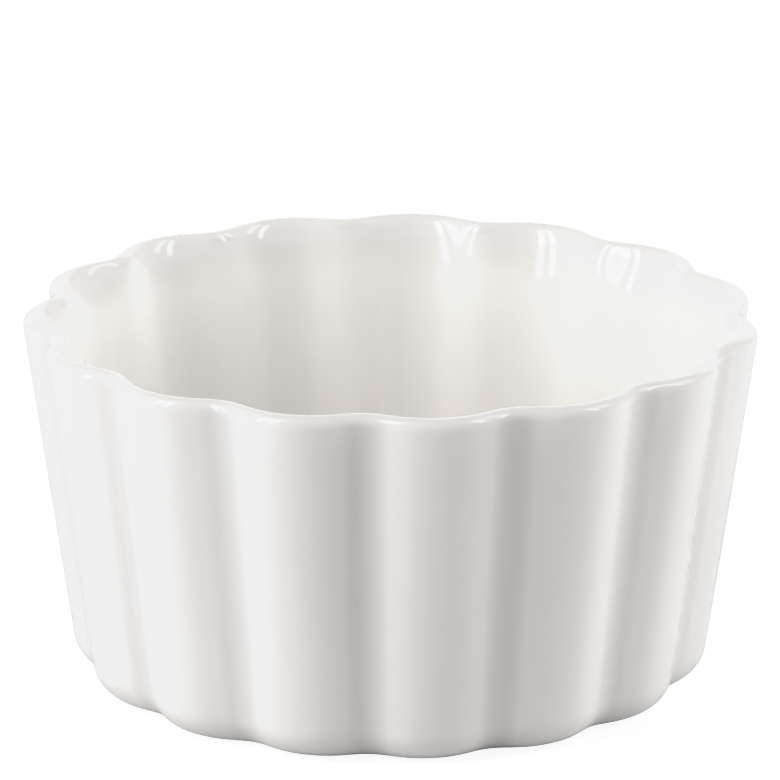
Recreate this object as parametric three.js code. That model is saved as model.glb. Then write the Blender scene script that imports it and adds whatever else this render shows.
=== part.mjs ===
// A creme brulee dish: one fired and glazed ceramic body, round and tapered, with upright
// flutes that run from the foot to the lip on the outside and the inside alike.
// Millimetres, +Z up. The origin is the middle of the plane that the foot stands on,
// and one flute crest points along -Y.
import * as THREE from "three";
import { mergeVertices } from "three/addons/utils/BufferGeometryUtils.js";

// Overall shape. The radii belong to the outside face, halfway between crest and valley,
// and its straight slope is carried on to the plane of the foot and to the top of the lip.
const height = 45;
const rimRadius = 43.9;
const baseRadius = 37.6;

// Flutes, each depth measured from crest to valley
const fluteCount = 15;
const rimFluteDepth = 2.2;
const baseFluteDepth = 1.6;
const valleyPinchShare = 0.12; // how far the valleys are narrower than the crests

// Wall and floor
const lipThickness = 3; // below the lip's rounding
const insideShoulderDrop = 6; // how far down the inside the lip rolls over into the wall
const insideFluteShare = 0.65; // how much of the flutes' depth the inside keeps below that
const wallThicknessAtFloor = 4;
const floorThickness = 4;
const insideCornerRadius = 7;

// Foot
const footCornerRadius = 4.2;
const footRingWidth = 3; // the flat ring that touches the table
const recessDepth = 1; // the underside inside the ring is lifted clear of the table
const recessCornerRadius = 1;

// Facets
const facetsPerFlute = 12;
const footCornerFacets = 4;
const lipFacets = 3;
const insideShoulderFacets = 5;
const insideCornerFacets = 5;
const recessCornerFacets = 2;

const glaze = new THREE.MeshStandardMaterial({ color: 0xefedea, roughness: 0.12, metalness: 0 });

// 1 on a crest and -1 in a valley
function fluteWave(turn) {
  const phase = fluteCount * turn;
  return Math.cos(phase) + valleyPinchShare * (1 - Math.cos(2 * phase));
}

// A ring of the surface: its radius halfway between crest and valley, its height, and half
// the depth of its flutes
function roundRing(radius, z) {
  return { radius, z, halfDepth: 0 };
}

// The same for a ring that lies inset from the outside face, with its flutes kept by a share
function flutedRing(z, inset, fluteShare = 1) {
  const rise = z / height;
  const radius = THREE.MathUtils.lerp(baseRadius, rimRadius, rise) - inset;
  const depth = THREE.MathUtils.lerp(baseFluteDepth, rimFluteDepth, rise) * fluteShare;
  return { radius, z, halfDepth: depth / 2 };
}

// Evenly spaced angles from one to another, both ends included
function angles(from, to, facets) {
  return Array.from({ length: facets + 1 }, (_, i) => THREE.MathUtils.lerp(from, to, i / facets));
}

// The underside, from the axis out to the inner edge of the foot ring: a flat lifted ceiling
// and a hollow corner that comes down to the table
function underside() {
  const ringInnerRadius = baseRadius - footCornerRadius - footRingWidth;
  const ceilingRadius = ringInnerRadius - recessCornerRadius;
  const corner = angles(0, Math.PI / 2, recessCornerFacets).map((angle) =>
    roundRing(
      ceilingRadius + recessCornerRadius * Math.sin(angle),
      recessDepth * Math.cos(angle),
    ),
  );
  return [roundRing(0, recessDepth), ...corner];
}

// The outside corner of the foot, a quarter round from the table to the wall
function footCorner() {
  return angles(0, Math.PI / 2, footCornerFacets).map((angle) =>
    flutedRing(footCornerRadius * (1 - Math.cos(angle)), footCornerRadius * (1 - Math.sin(angle))),
  );
}

// How far the inside wall lies in from the outside face
function insideInset(z) {
  const cornerTop = floorThickness + insideCornerRadius;
  const drop = (height - z) / (height - cornerTop);
  return THREE.MathUtils.lerp(lipThickness, wallThicknessAtFloor, drop);
}

// The lip: a quarter round on the outside, and a long quarter ellipse that rolls over into the
// inside wall, along which the flutes get shallower
function lip() {
  const lipRadius = lipThickness / 2;
  const outside = angles(0, Math.PI / 2, lipFacets).map((angle) =>
    flutedRing(height - lipRadius + lipRadius * Math.sin(angle), lipRadius * (1 - Math.cos(angle))),
  );
  const inside = angles(Math.PI / 2, 0, insideShoulderFacets).map((angle) => {
    const drop = 1 - Math.sin(angle);
    const z = height - insideShoulderDrop * drop;
    const inset = insideInset(z) - lipRadius * (1 - Math.cos(angle));
    return flutedRing(z, inset, THREE.MathUtils.lerp(1, insideFluteShare, drop));
  });
  return [...outside, ...inside.slice(1)];
}

// The corner inside, a quarter round from the wall down to the floor, along which the flutes
// fade out, and then the flat floor to the axis
function insideCornerAndFloor() {
  const corner = angles(Math.PI / 2, 0, insideCornerFacets).map((angle) =>
    flutedRing(
      floorThickness + insideCornerRadius * (1 - Math.cos(angle)),
      wallThicknessAtFloor + insideCornerRadius * (1 - Math.sin(angle)),
      insideFluteShare * Math.sin(angle),
    ),
  );
  return [...corner, roundRing(0, floorThickness)];
}

// One closed surface: the rings are turned round the axis as a lathe would turn them, and then
// each point moves out or in by the flute wave
function dishGeometry() {
  const rings = [...underside(), ...footCorner(), ...lip(), ...insideCornerAndFloor()];
  const segments = fluteCount * facetsPerFlute;
  const profile = rings.map((ring) => new THREE.Vector2(ring.radius, ring.z));
  const turned = new THREE.LatheGeometry(profile, segments);
  const points = turned.attributes.position;
  for (let i = 0; i < points.count; i++) {
    const ring = rings[i % rings.length];
    const turn = (Math.floor(i / rings.length) / segments) * 2 * Math.PI;
    const radius = ring.radius + ring.halfDepth * fluteWave(turn);
    points.setXYZ(i, radius * Math.sin(turn), -radius * Math.cos(turn), ring.z);
  }
  turned.deleteAttribute("normal");
  turned.deleteAttribute("uv");
  const closed = mergeVertices(turned);
  closed.computeVertexNormals();
  return closed;
}

const dish = new THREE.Mesh(dishGeometry(), glaze);
dish.name = "dish";

const cremeBruleeDish = new THREE.Group();
cremeBruleeDish.add(dish);

export default cremeBruleeDish;
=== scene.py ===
import math
import bpy
from mathutils import Matrix, Vector


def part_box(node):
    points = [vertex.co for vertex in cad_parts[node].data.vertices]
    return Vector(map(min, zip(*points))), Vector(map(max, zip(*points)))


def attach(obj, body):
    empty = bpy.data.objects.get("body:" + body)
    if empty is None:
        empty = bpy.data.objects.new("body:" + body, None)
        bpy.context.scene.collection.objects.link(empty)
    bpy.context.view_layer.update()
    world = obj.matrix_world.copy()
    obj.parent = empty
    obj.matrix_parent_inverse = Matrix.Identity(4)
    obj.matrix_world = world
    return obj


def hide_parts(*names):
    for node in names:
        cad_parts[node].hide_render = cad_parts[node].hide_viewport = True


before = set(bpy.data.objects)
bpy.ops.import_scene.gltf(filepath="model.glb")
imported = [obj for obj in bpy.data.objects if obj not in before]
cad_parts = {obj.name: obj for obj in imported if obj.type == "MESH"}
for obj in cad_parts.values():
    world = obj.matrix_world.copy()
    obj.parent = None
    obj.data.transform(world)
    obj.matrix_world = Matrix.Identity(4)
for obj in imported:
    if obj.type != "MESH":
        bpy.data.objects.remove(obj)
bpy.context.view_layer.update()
print("frame loaded:", sorted(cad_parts))

# The dish in its own millimetres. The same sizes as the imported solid, which sets the scale.
dish = {
    "height": 45,
    "rimRadius": 43.9,           # outside face, halfway between crest and valley
    "baseRadius": 37.6,
    "fluteCount": 15,
    "rimFluteDepth": 2.2,        # crest to valley
    "baseFluteDepth": 1.6,
    "valleyPinchShare": 0.12,    # how far the valleys are narrower than the crests
    "lipThickness": 3,
    "insideShoulderDrop": 6,     # how far down the inside the lip rolls over into the wall
    "insideFluteShare": 0.65,    # how much of the flutes' depth the inside keeps below that
    "wallThicknessAtFloor": 4,
    "floorThickness": 4,
    "insideCornerRadius": 7,
    "footCornerRadius": 4.2,
    "footRingWidth": 3,
    "recessDepth": 1,
    "recessCornerRadius": 1,
    "kilnWarp": 0.08,            # how far the wall wanders inwards from the true form
    "warpSize": 0.45,            # in radii of the rim
    "warpDetail": 1.0,
    "warpSeed": 4.0,
    "mergeDistance": 0.001,
    "facetsPerFlute": 32,
    "underSteps": 8,             # rings of the mesh along each part of the profile
    "recessCornerSteps": 6,
    "footCornerSteps": 12,
    "outsideWallSteps": 12,
    "lipOutsideSteps": 8,
    "lipInsideSteps": 16,
    "insideWallSteps": 10,
    "insideCornerSteps": 14,
    "floorSteps": 8,
}
lowCorner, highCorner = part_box("dish")
mm = (highCorner.z - lowCorner.z) / dish["height"]
quarterTurn = math.pi / 2
fullTurn = 2 * math.pi


def mix(a, b, share):
    return a + (b - a) * share


def sweep(start, end, facets):
    return [mix(start, end, i / facets) for i in range(facets + 1)]


# One ring of the surface: its radius halfway between crest and valley, its height and its flute depth
def roundRing(radius, z):
    return radius, z, 0.0


def flutedRing(z, inset, fluteShare=1.0):
    rise = z / dish["height"]
    radius = mix(dish["baseRadius"], dish["rimRadius"], rise) - inset
    depth = mix(dish["baseFluteDepth"], dish["rimFluteDepth"], rise) * fluteShare
    return radius, z, depth


def underside():
    corner = dish["recessCornerRadius"]
    ceilingRadius = dish["baseRadius"] - dish["footCornerRadius"] - dish["footRingWidth"] - corner
    ceiling = [roundRing(radius, dish["recessDepth"])
               for radius in sweep(0, ceilingRadius, dish["underSteps"])]
    cove = [roundRing(ceilingRadius + corner * math.sin(angle), dish["recessDepth"] * math.cos(angle))
            for angle in sweep(0, quarterTurn, dish["recessCornerSteps"])]
    return ceiling[:-1] + cove


def footCorner():
    corner = dish["footCornerRadius"]
    return [flutedRing(corner * (1 - math.cos(angle)), corner * (1 - math.sin(angle)))
            for angle in sweep(0, quarterTurn, dish["footCornerSteps"])]


def outsideWall():
    top = dish["height"] - dish["lipThickness"] / 2
    return [flutedRing(z, 0) for z in sweep(dish["footCornerRadius"], top, dish["outsideWallSteps"])[1:-1]]


# The lip: a quarter round on the outside, and a long quarter ellipse down the inside
def lip():
    lipRadius = dish["lipThickness"] / 2
    roundStart = dish["height"] - lipRadius
    outside = [flutedRing(roundStart + lipRadius * math.sin(angle), lipRadius * (1 - math.cos(angle)))
               for angle in sweep(0, quarterTurn, dish["lipOutsideSteps"])]
    inside = []
    for angle in sweep(quarterTurn, 0, dish["lipInsideSteps"])[1:]:
        drop = 1 - math.sin(angle)
        z = dish["height"] - dish["insideShoulderDrop"] * drop
        inset = insideInset(z) - lipRadius * (1 - math.cos(angle))
        inside.append(flutedRing(z, inset, mix(1, dish["insideFluteShare"], drop)))
    return outside + inside


# How far the inside wall lies in from the outside face
def insideInset(z):
    cornerTop = dish["floorThickness"] + dish["insideCornerRadius"]
    drop = (dish["height"] - z) / (dish["height"] - cornerTop)
    return mix(dish["lipThickness"], dish["wallThicknessAtFloor"], drop)


def insideWall():
    top = dish["height"] - dish["insideShoulderDrop"]
    bottom = dish["floorThickness"] + dish["insideCornerRadius"]
    return [flutedRing(z, insideInset(z), dish["insideFluteShare"])
            for z in sweep(top, bottom, dish["insideWallSteps"])[1:-1]]


def insideCornerAndFloor():
    corner = dish["insideCornerRadius"]
    rings = [flutedRing(dish["floorThickness"] + corner * (1 - math.cos(angle)),
                        dish["wallThicknessAtFloor"] + corner * (1 - math.sin(angle)),
                        dish["insideFluteShare"] * math.sin(angle))
             for angle in sweep(quarterTurn, 0, dish["insideCornerSteps"])]
    floorRadius = rings[-1][0]
    floor = [roundRing(radius, dish["floorThickness"])
             for radius in sweep(floorRadius, 0, dish["floorSteps"])]
    return rings + floor[1:]


# Adds a node and fills its inputs. An input is given by its name without the spaces, or as in0, in1 and
# so on by its place, with a value or with the socket that feeds it.
def addNode(tree, kind, settings=None, **inputs):
    node = tree.nodes.new(kind)
    for name, value in (settings or {}).items():
        setattr(node, name, value)
    for name, value in inputs.items():
        if name.startswith("in") and name[2:].isdigit():
            socket = node.inputs[int(name[2:])]
        else:
            socket = next(s for s in node.inputs if s.name.replace(" ", "") == name)
        if isinstance(value, bpy.types.NodeSocket):
            tree.links.new(value, socket)
        else:
            socket.default_value = value
    return node


def calc(tree, operation, a, b=0.0, c=0.0):
    return addNode(tree, "ShaderNodeMath", {"operation": operation}, in0=a, in1=b, in2=c).outputs[0]


def combine(tree, x, y, z):
    return addNode(tree, "ShaderNodeCombineXYZ", in0=x, in1=y, in2=z).outputs[0]


# What the lathe takes besides the profile: each input's name, its kind of socket and its value
def latheInputs(finish):
    return [
        ("Flute Count", "NodeSocketInt", dish["fluteCount"]),
        ("Facets Per Flute", "NodeSocketInt", dish["facetsPerFlute"]),
        ("Valley Pinch Share", "NodeSocketFloat", dish["valleyPinchShare"]),
        ("Kiln Warp", "NodeSocketFloat", dish["kilnWarp"] * mm),
        ("Warp Seed", "NodeSocketFloat", dish["warpSeed"]),
        ("Warp Size", "NodeSocketFloat", dish["warpSize"]),
        ("Warp Top", "NodeSocketFloat", dish["height"] * mm),
        ("Merge Distance", "NodeSocketFloat", dish["mergeDistance"] * mm),
        ("Finish", "NodeSocketMaterial", finish),
    ]


def namedField(tree, name):
    return addNode(tree, "GeometryNodeInputNamedAttribute", {"data_type": "FLOAT"}, Name=name).outputs[0]


# What the profile says at one of its points
def sampleProfile(tree, profile, field, point, kind="FLOAT"):
    return addNode(tree, "GeometryNodeSampleIndex", {"data_type": kind},
                   Geometry=profile, Value=field, Index=point).outputs[0]


def storeField(tree, geometry, name, value):
    return addNode(tree, "GeometryNodeStoreNamedAttribute", {"data_type": "FLOAT", "domain": "POINT"},
                   Geometry=geometry, Name=name, Value=value).outputs[0]


# The flute wave: 1 on a crest, -1 in a valley
def fluteWave(tree, turn, given):
    phase = calc(tree, "MULTIPLY", turn, given["Flute Count"])
    pinch = calc(tree, "SUBTRACT", 1.0, calc(tree, "COSINE", calc(tree, "MULTIPLY", phase, 2.0)))
    return calc(tree, "MULTIPLY_ADD", given["Valley Pinch Share"], pinch, calc(tree, "COSINE", phase))


# The slow warp of a fired wall: the same inside and outside, and none at the foot
def kilnWarp(tree, sine, cosine, z, onFlutes, given):
    rise = calc(tree, "DIVIDE", z, given["Warp Top"])
    around = combine(tree, sine, calc(tree, "MULTIPLY", cosine, -1.0), rise)
    wander = addNode(tree, "ShaderNodeTexNoise", {"noise_dimensions": "4D"}, Vector=around,
                     Detail=dish["warpDetail"], W=given["Warp Seed"],
                     Scale=calc(tree, "DIVIDE", 1.0, given["Warp Size"])).outputs[0]
    fade = calc(tree, "MULTIPLY", rise, onFlutes)
    return calc(tree, "MULTIPLY", calc(tree, "MULTIPLY", wander, given["Kiln Warp"]), fade)


# Geometry Nodes: turns the profile round the axis and presses the flutes into it
def fluteLatheTree(inputs):
    tree = bpy.data.node_groups.new("fluteLathe", "GeometryNodeTree")
    tree.interface.new_socket("Profile", in_out="INPUT", socket_type="NodeSocketGeometry")
    for name, kind, value in inputs:
        tree.interface.new_socket(name, in_out="INPUT", socket_type=kind)
    tree.interface.new_socket("Dish", in_out="OUTPUT", socket_type="NodeSocketGeometry")
    given = tree.nodes.new("NodeGroupInput").outputs
    profile = given["Profile"]

    # a grid with one row of points for each ring, the last point of a row on top of the first
    ringCount = addNode(tree, "GeometryNodeAttributeDomainSize", {"component": "MESH"},
                        in0=profile).outputs["Point Count"]
    turnCount = calc(tree, "MULTIPLY", given["Flute Count"], given["Facets Per Flute"])
    rowLength = calc(tree, "ADD", turnCount, 1.0)
    grid = addNode(tree, "GeometryNodeMeshGrid", VerticesX=ringCount, VerticesY=rowLength).outputs["Mesh"]
    index = addNode(tree, "GeometryNodeInputIndex").outputs[0]
    halfStep = 0.5       # keeps the rounding down clear of the row below
    rowShare = calc(tree, "DIVIDE", calc(tree, "ADD", index, halfStep), rowLength)
    ringIndex = calc(tree, "FLOOR", rowShare)
    turnIndex = calc(tree, "SUBTRACT", index, calc(tree, "MULTIPLY", ringIndex, rowLength))
    turn = calc(tree, "DIVIDE", calc(tree, "MULTIPLY", turnIndex, fullTurn), turnCount)

    place = addNode(tree, "GeometryNodeInputPosition").outputs[0]
    ringPlace = sampleProfile(tree, profile, place, ringIndex, "FLOAT_VECTOR")
    ringDepth = sampleProfile(tree, profile, namedField(tree, "fluteDepth"), ringIndex)
    ringInside = sampleProfile(tree, profile, namedField(tree, "insideDepth"), ringIndex)
    ring = addNode(tree, "ShaderNodeSeparateXYZ", in0=ringPlace).outputs
    onFlutes = calc(tree, "SIGN", ringDepth)

    # each point goes round the axis, and out or in with the wave
    wave = fluteWave(tree, turn, given)
    sine, cosine = calc(tree, "SINE", turn), calc(tree, "COSINE", turn)
    reach = calc(tree, "MULTIPLY_ADD", calc(tree, "MULTIPLY", ringDepth, 0.5), wave, ring["X"])
    radius = calc(tree, "SUBTRACT", reach, kilnWarp(tree, sine, cosine, ring["Z"], onFlutes, given))
    x = calc(tree, "MULTIPLY", radius, sine)
    y = calc(tree, "MULTIPLY", calc(tree, "MULTIPLY", radius, cosine), -1.0)
    moved = addNode(tree, "GeometryNodeSetPosition", Geometry=grid,
                    Position=combine(tree, x, y, ring["Z"])).outputs[0]

    # the finish reads these two from the mesh
    kept = storeField(tree, moved, "fluteWave", calc(tree, "MULTIPLY", wave, onFlutes))
    kept = storeField(tree, kept, "insideDepth", ringInside)
    closed = addNode(tree, "GeometryNodeMergeByDistance", Geometry=kept,
                     Distance=given["Merge Distance"]).outputs[0]
    smooth = addNode(tree, "GeometryNodeSetShadeSmooth", Geometry=closed).outputs[0]
    real = addNode(tree, "GeometryNodeRealizeInstances", Geometry=smooth).outputs[0]
    finished = addNode(tree, "GeometryNodeSetMaterial", Geometry=real, Material=given["Finish"]).outputs[0]
    addNode(tree, "NodeGroupOutput", in0=finished)
    return tree


def setInput(modifier, name, value):
    item = next(i for i in modifier.node_group.interface.items_tree
                if i.item_type == "SOCKET" and i.in_out == "INPUT" and i.name == name)
    modifier[item.identifier] = value


# The profile as a line of points, each with its flute depth and with how far down the inside it lies:
# 0 outside and at the top, towards 1 at the floor
def dishProfile():
    rings = underside() + footCorner() + outsideWall() + lip() + insideWall() + insideCornerAndFloor()
    top = max(range(len(rings)), key=lambda i: rings[i][1])
    mesh = bpy.data.meshes.new("dishProfile")
    mesh.from_pydata([(radius * mm, 0, z * mm) for radius, z, depth in rings],
                     [(i, i + 1) for i in range(len(rings) - 1)], [])
    depths = mesh.attributes.new("fluteDepth", "FLOAT", "POINT")
    depths.data.foreach_set("value", [depth * mm for radius, z, depth in rings])
    insides = mesh.attributes.new("insideDepth", "FLOAT", "POINT")
    insides.data.foreach_set("value", [1 - z / dish["height"] if i > top else 0
                                       for i, (radius, z, depth) in enumerate(rings)])
    return mesh


def makeDish(finish):
    source = bpy.data.objects.new("dishProfile", dishProfile())
    bpy.context.scene.collection.objects.link(source)
    lathe = source.modifiers.new("fluteLathe", "NODES")
    lathe.node_group = fluteLatheTree(latheInputs(finish))
    for name, kind, value in latheInputs(finish):
        setInput(lathe, name, value)
    bpy.context.view_layer.update()
    turned = bpy.data.meshes.new_from_object(source.evaluated_get(bpy.context.evaluated_depsgraph_get()))
    bpy.data.objects.remove(source)

    turned.name = "glazedDish"
    body = bpy.data.objects.new("glazedDish", turned)
    bpy.context.scene.collection.objects.link(body)
    print("dish made:", len(turned.polygons), "faces")
    return body


# White porcelain under a clear gloss glaze, bare on the ring that it stood on in the kiln.
# All sizes are in the dish's millimetres.
glaze = {
    "white": (0.845, 0.828, 0.815, 1),
    "driftWhite": (0.835, 0.819, 0.805, 1),    # slow drift of tone across the piece
    "driftSize": 30,
    "driftDetail": 2.0,
    "insideWhite": (0.955, 0.937, 0.906, 1),   # inside: painted bounce light, lighter and creamier than the outside
    "insideFull": 0.16,                        # share of the height below the lip where it is full
    "deepWhite": (0.9, 0.876, 0.842, 1),       # darker towards the floor: painted shade deep in the bowl
    "deepFull": 0.7,
    "pooledWhite": (0.72, 0.705, 0.694, 1),    # valleys: painted shade in the creases
    "pooledFrom": 0.25,                        # how deep in a valley that starts
    "insidePoolShare": 0.2,                    # how much of it is left in the valleys inside
    "sideChange": 0.08,                        # share of the height over which the sides change places
    "thinWhite": (0.87, 0.851, 0.828, 1),      # lip and crests, where the glaze is thin
    "thinLipWidth": 1.4,
    "thinCrestFrom": 0.6,                      # how high on a crest that starts
    "thinCrestShare": 0.15,
    "speckColour": (0.52, 0.45, 0.36, 1),      # iron in the body, which shows through
    "speckRadius": 0.11,
    "speckCoreShare": 1 / 3,                   # the part of the radius over which a speck is full
    "speckSpacing": 6,
    "speckShare": 0.3,                         # how many of the places have one
    "speckStrength": 0.22,
    "roughness": 0.075,
    "roughnessDrift": 0.04,
    "roughnessSize": 7,
    "roughnessDetail": 3.0,
    "waveSize": 12,                            # the glaze lies in slow waves
    "waveHeight": 0.02,
    "peelSize": 1.6,                           # and has a very fine orange peel
    "peelHeight": 0.0012,
    "reliefDetail": 1.0,
    "bareColour": (0.78, 0.74, 0.67, 1),
    "bareRoughness": 0.7,
    "bareHeight": 0.4,                         # the glaze stops about this far above the table
    "bareEdgeSize": 4,                         # and its edge wanders over this length
    "bareGrainSize": 0.5,
    "bareGrainHeight": 0.02,
    "bareGrainDetail": 4.0,
}
softNoise = (0.35, 0.65)                       # most of a noise lies between these values


def noise(tree, place, size, detail):
    scale = 1 / (size * mm)
    return addNode(tree, "ShaderNodeTexNoise", Vector=place, Scale=scale, Detail=detail).outputs[0]


def ramp(tree, value, low, high, lowResult=0.0, highResult=1.0):
    return addNode(tree, "ShaderNodeMapRange", {"interpolation_type": "SMOOTHSTEP"}, Value=value,
                   FromMin=low, FromMax=high, ToMin=lowResult, ToMax=highResult).outputs[0]


# The Mix node takes numbers at its inputs 2 and 3, and colours at 6 and 7
def blend(tree, share, below, above):
    node = addNode(tree, "ShaderNodeMix", {"data_type": "RGBA"}, in0=share, in6=below, in7=above)
    return node.outputs[2]


def blendNumber(tree, share, below, above):
    return addNode(tree, "ShaderNodeMix", in0=share, in2=below, in3=above).outputs[0]


def meshField(tree, name):
    return addNode(tree, "ShaderNodeAttribute", {"attribute_name": name}).outputs["Fac"]


# A slow drift of tone, painted bounce light that makes the inside lighter and creamier, painted shade
# darker towards the floor and in the valleys, warm on the lip and the crests
def glazeTone(tree, place, height):
    drift = ramp(tree, noise(tree, place, glaze["driftSize"], glaze["driftDetail"]), *softNoise)
    colour = blend(tree, drift, glaze["white"], glaze["driftWhite"])
    inside = meshField(tree, "insideDepth")
    # painted bounce light: the inside is lighter and creamier below the lip
    colour = blend(tree, ramp(tree, inside, 0.0, glaze["insideFull"]), colour, glaze["insideWhite"])
    # painted shade: darker down towards the floor inside
    deepShade = ramp(tree, inside, glaze["insideFull"], glaze["deepFull"])
    colour = blend(tree, deepShade, colour, glaze["deepWhite"])

    # what is a crest outside is a valley inside
    side = ramp(tree, inside, 0.0, glaze["sideChange"], -1.0, 1.0)
    hollow = calc(tree, "MULTIPLY", meshField(tree, "fluteWave"), side)
    # painted shade in the valleys, weaker inside
    valleyShadeShare = ramp(tree, side, -1.0, 1.0, 1.0, glaze["insidePoolShare"])
    valleyShade = calc(tree, "MULTIPLY", ramp(tree, hollow, glaze["pooledFrom"], 1.0), valleyShadeShare)
    colour = blend(tree, valleyShade, colour, glaze["pooledWhite"])
    rim = dish["height"] * mm
    onLip = ramp(tree, height, rim - glaze["thinLipWidth"] * mm, rim)
    onCrest = ramp(tree, hollow, -glaze["thinCrestFrom"], -1.0, 0.0, glaze["thinCrestShare"])
    return blend(tree, calc(tree, "MAXIMUM", onLip, onCrest), colour, glaze["thinWhite"])


def addSpecks(tree, place, colour):
    spacing = glaze["speckSpacing"] * mm
    cells = addNode(tree, "ShaderNodeTexVoronoi", Vector=place, Scale=1 / spacing).outputs
    edge = glaze["speckRadius"] / glaze["speckSpacing"]
    spot = ramp(tree, cells["Distance"], edge, edge * glaze["speckCoreShare"])
    chosen = addNode(tree, "ShaderNodeSeparateColor", in0=cells["Color"]).outputs[0]
    speck = calc(tree, "MULTIPLY", spot, calc(tree, "LESS_THAN", chosen, glaze["speckShare"]))
    return blend(tree, calc(tree, "MULTIPLY", speck, glaze["speckStrength"]), colour, glaze["speckColour"])


# 1 where the foot is bare, with a slightly uneven glaze edge
def bareFoot(tree, place, height):
    edge = calc(tree, "MULTIPLY", noise(tree, place, glaze["bareEdgeSize"], glaze["reliefDetail"]),
                2 * glaze["bareHeight"] * mm)
    return calc(tree, "LESS_THAN", height, edge)


def glazeRoughness(tree, place, bare):
    drift = noise(tree, place, glaze["roughnessSize"], glaze["roughnessDetail"])
    lowest = glaze["roughness"] - glaze["roughnessDrift"] / 2
    roughness = calc(tree, "MULTIPLY_ADD", drift, glaze["roughnessDrift"], lowest)
    return blendNumber(tree, bare, roughness, glaze["bareRoughness"])


# Relief in millimetres: slow waves, orange peel, and grain where the body is bare
def glazeRelief(tree, place, bare):
    waves = calc(tree, "MULTIPLY", noise(tree, place, glaze["waveSize"], glaze["reliefDetail"]),
                 glaze["waveHeight"])
    peel = calc(tree, "MULTIPLY", noise(tree, place, glaze["peelSize"], glaze["reliefDetail"]),
                glaze["peelHeight"])
    grain = calc(tree, "MULTIPLY", noise(tree, place, glaze["bareGrainSize"], glaze["bareGrainDetail"]),
                 calc(tree, "MULTIPLY", bare, glaze["bareGrainHeight"]))
    relief = calc(tree, "ADD", calc(tree, "ADD", waves, peel), grain)
    return addNode(tree, "ShaderNodeBump", Strength=1.0, Distance=mm, Height=relief).outputs[0]


def makeGlaze():
    material = bpy.data.materials.new("whiteGlaze")
    material.use_nodes = True
    tree = material.node_tree
    shader = tree.nodes["Principled BSDF"]
    place = addNode(tree, "ShaderNodeTexCoord").outputs["Object"]
    height = addNode(tree, "ShaderNodeSeparateXYZ", in0=place).outputs["Z"]
    bare = bareFoot(tree, place, height)
    glazed = addSpecks(tree, place, glazeTone(tree, place, height))
    tree.links.new(blend(tree, bare, glazed, glaze["bareColour"]), shader.inputs["Base Color"])
    tree.links.new(glazeRoughness(tree, place, bare), shader.inputs["Roughness"])
    tree.links.new(glazeRelief(tree, place, bare), shader.inputs["Normal"])
    print("glaze made:", len(tree.nodes), "nodes")
    return material


# Studio: a white paper table, narrow softboxes that the glaze mirrors as thin bars, broad fills that it
# doesn't mirror, and a broad backdrop, all turned with the camera
studio = {
    "floorSize": 8.0,
    "paperWhite": (0.63, 0.63, 0.63, 1),
    "fibreWhite": (0.6, 0.6, 0.595, 1),
    "fibreSize": 2.5,             # in the dish's millimetres
    "fibreDetail": 4.0,
    "paperRoughness": 0.9,
    "paperGlow": 1.15,            # how far the paper is lifted to white where the camera sees it
    "mirroredGlow": 0.06,         # and where the glaze mirrors it
    "airColour": (1, 1, 1, 1),
    "worldLevel": 0.02,
    "kneeLevel": 0.86,            # light that the camera shows as it is, above which it holds back
    "whiteLevel": 1.6,            # light that it shows as pure white
}
softboxes = {
    # name: turn from the camera and elevation in degrees, distance, width and height in metres, watts,
    # and whether the glaze mirrors it
    "leftFrontHigh": (-50, 40, 1.2, 0.18, 0.56, 4.0, True),
    "leftFrontLow": (-50, 14, 1.2, 0.18, 0.5, 2.1, True),
    "leftSideHigh": (-67, 40, 1.2, 0.18, 0.56, 3.6, True),
    "leftSideLow": (-67, 14, 1.2, 0.18, 0.5, 2.5, True),
    "leftFar": (-84, 11, 1.2, 0.4, 0.42, 2.8, False),
    "leftBack": (-130, 14, 1.2, 0.4, 0.5, 0.5, False),
    "rightFrontHigh": (73, 40, 1.2, 0.16, 0.56, 2.6, True),
    "rightSideHigh": (95, 40, 1.2, 0.16, 0.56, 1.4, True),
    "rightFrontLow": (45, 14, 1.2, 0.8, 0.5, 0.9, False),
    "rightSideLow": (85, 12, 1.2, 0.6, 0.46, 4.7, False),
    "rightBack": (116, 12, 1.2, 0.6, 0.46, 5.5, False),
    "backdrop": (180, 20, 2.1, 2.9, 1.35, 16, True),
    "backFill": (180, 30, 2.2, 2.9, 1.3, 16, False),
}

# The photograph's camera, found by fitting the dish's outlines
shot = {
    "turn": -7.85,          # degrees, so the crest nearest the camera stands right of the middle
    "elevation": 17.28,
    "distance": 865,        # in the dish's millimetres, to the point aimed at
    "aimHeight": 35,
    "aimRight": -0.17,
    "focalPixels": 7093.3,
    "imagePixels": 780,
    "sensorWidth": 36.0,
    "roll": 0.11,
    "clipNear": 0.01,       # metres
    "clipFar": 50,
}


def outFrom(turn, elevation):
    a, e = math.radians(turn), math.radians(elevation)
    return Vector((math.sin(a) * math.cos(e), -math.cos(a) * math.cos(e), math.sin(e)))


def makeCamera():
    data = bpy.data.cameras.new("photoCamera")
    data.sensor_width = shot["sensorWidth"]
    data.lens = shot["focalPixels"] / shot["imagePixels"] * shot["sensorWidth"]
    data.clip_start, data.clip_end = shot["clipNear"], shot["clipFar"]
    camera = bpy.data.objects.new("photoCamera", data)
    back = outFrom(shot["turn"], shot["elevation"])
    rightwards = outFrom(shot["turn"] + 90, 0)
    aim = Vector((0, 0, shot["aimHeight"] * mm)) + rightwards * shot["aimRight"] * mm
    camera.location = aim + back * shot["distance"] * mm
    facing = (-back).to_track_quat("-Z", "Y").to_matrix()
    camera.rotation_euler = (facing @ Matrix.Rotation(math.radians(shot["roll"]), 3, "Z")).to_euler()
    bpy.context.scene.collection.objects.link(camera)
    bpy.context.scene.camera = camera
    print("camera made: elevation", shot["elevation"])


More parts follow.
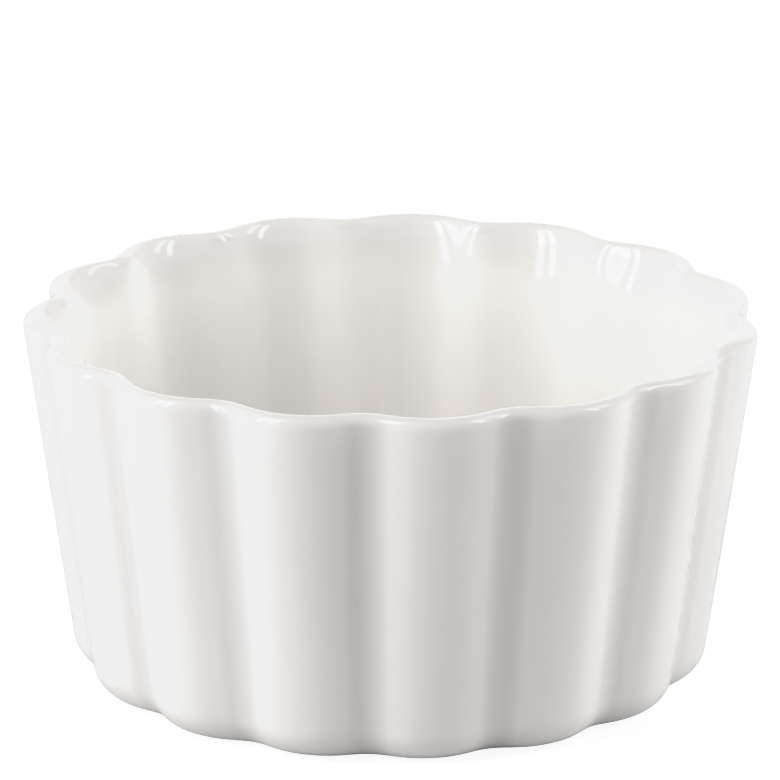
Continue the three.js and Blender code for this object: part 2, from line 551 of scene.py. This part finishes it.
def makeSoftbox(name, turn, elevation, distance, width, height, watts, mirrored):
    data = bpy.data.lights.new(name, "AREA")
    data.shape = "RECTANGLE"
    data.size, data.size_y = width, height
    data.energy = watts
    box = bpy.data.objects.new(name, data)
    box.visible_camera = False
    box.visible_glossy = mirrored
    out = outFrom(shot["turn"] + turn, elevation)
    middle = Vector((0, 0, dish["height"] / 2 * mm))
    box.location = middle + out * distance
    box.rotation_euler = out.to_track_quat("Z", "Y").to_euler()
    bpy.context.scene.collection.objects.link(box)


# Paper that is lifted to white where the camera sees it, and a little where the glaze mirrors it
def makePaper():
    paper = bpy.data.materials.new("whitePaper")
    paper.use_nodes = True
    tree = paper.node_tree
    shader = tree.nodes["Principled BSDF"]
    shader.inputs["Roughness"].default_value = studio["paperRoughness"]
    shader.inputs["Emission Color"].default_value = (1, 1, 1, 1)
    place = addNode(tree, "ShaderNodeTexCoord").outputs["Object"]
    fibre = ramp(tree, noise(tree, place, studio["fibreSize"], studio["fibreDetail"]), *softNoise)
    paperColour = blend(tree, fibre, studio["paperWhite"], studio["fibreWhite"])
    tree.links.new(paperColour, shader.inputs["Base Color"])
    ray = addNode(tree, "ShaderNodeLightPath").outputs
    seen = calc(tree, "MULTIPLY", ray["Is Camera Ray"], studio["paperGlow"])
    mirrored = calc(tree, "MULTIPLY", ray["Is Glossy Ray"], studio["mirroredGlow"])
    tree.links.new(calc(tree, "ADD", seen, mirrored), shader.inputs["Emission Strength"])
    return paper


def makeTable():
    half = studio["floorSize"] / 2
    corners = [(-half, -half, 0), (half, -half, 0), (half, half, 0), (-half, half, 0)]
    mesh = bpy.data.meshes.new("sweep")
    mesh.from_pydata(corners, [], [(0, 1, 2, 3)])
    mesh.materials.append(makePaper())
    table = bpy.data.objects.new("sweep", mesh)
    bpy.context.scene.collection.objects.link(table)


def makeAir():
    world = bpy.data.worlds.new("studioAir")
    world.use_nodes = True
    background = world.node_tree.nodes["Background"].inputs
    background["Color"].default_value = studio["airColour"]
    background["Strength"].default_value = studio["worldLevel"]
    bpy.context.scene.world = world


def makeStudio():
    makeTable()
    makeAir()
    for name, values in softboxes.items():
        makeSoftbox(name, *values)
    print("studio made:", ", ".join(softboxes))


# The photograph keeps its bright whites just under pure white, so the picture gets a soft knee
def makeTone():
    view = bpy.context.scene.view_settings
    view.view_transform = "Standard"
    view.use_curve_mapping = True
    tone = view.curve_mapping
    tone.white_level = (studio["whiteLevel"],) * 3
    allChannels = tone.curves[3]
    allChannels.points.new(studio["kneeLevel"] / studio["whiteLevel"], studio["kneeLevel"])
    for point in allChannels.points:
        point.handle_type = "VECTOR"
    tone.update()
    print("tone made: knee at", studio["kneeLevel"])


makeCamera()
glazedDish = makeDish(makeGlaze())
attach(glazedDish, "root")
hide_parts("dish")
makeStudio()
makeTone()
